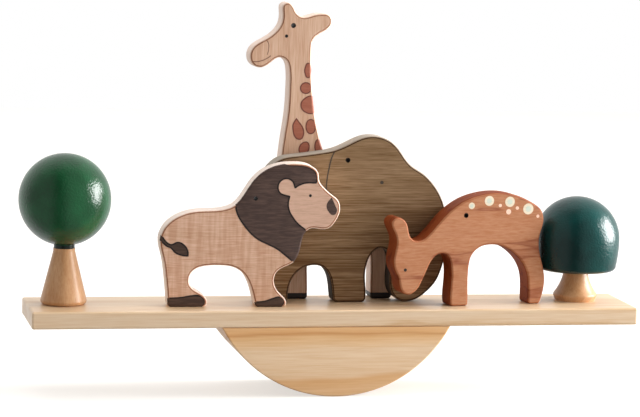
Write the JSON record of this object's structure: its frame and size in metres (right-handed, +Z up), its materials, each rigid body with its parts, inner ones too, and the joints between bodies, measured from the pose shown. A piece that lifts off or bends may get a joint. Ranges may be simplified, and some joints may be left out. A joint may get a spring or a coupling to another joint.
{
  "type": "stacking balance game",
  "caption": "Stacking balance game: flat wooden animals and turned trees stand loose on a plank that is glued on a curved rocker.",
  "frame": {"origin": "The rocker's lowest point, where it touches the floor, halfway across the plank.", "axes": "+X along the plank from the ball tree to the dome tree, +Y across the plank away from the player, +Z up."},
  "size_m": [0.3451, 0.0564, 0.2143],
  "materials": {
    "plank_wood": "satin",
    "rocker_wood": "satin",
    "lion_wood": "satin",
    "elephant_wood": "satin",
    "giraffe_wood": "satin",
    "deer_wood": "satin",
    "trunk_wood": "gloss",
    "ball_green": "gloss",
    "dome_green": "gloss"
  },
  "bodies": {
    "root": {"plank": "plank_wood", "rocker": "rocker_wood", "lion": "lion_wood", "elephant": "elephant_wood", "giraffe": "giraffe_wood", "deer": "deer_wood", "ball_tree_trunk": "trunk_wood", "ball_tree_crown": "ball_green", "dome_tree_trunk": "trunk_wood", "dome_tree_crown": "dome_green"}
  },
  "joints": []
}
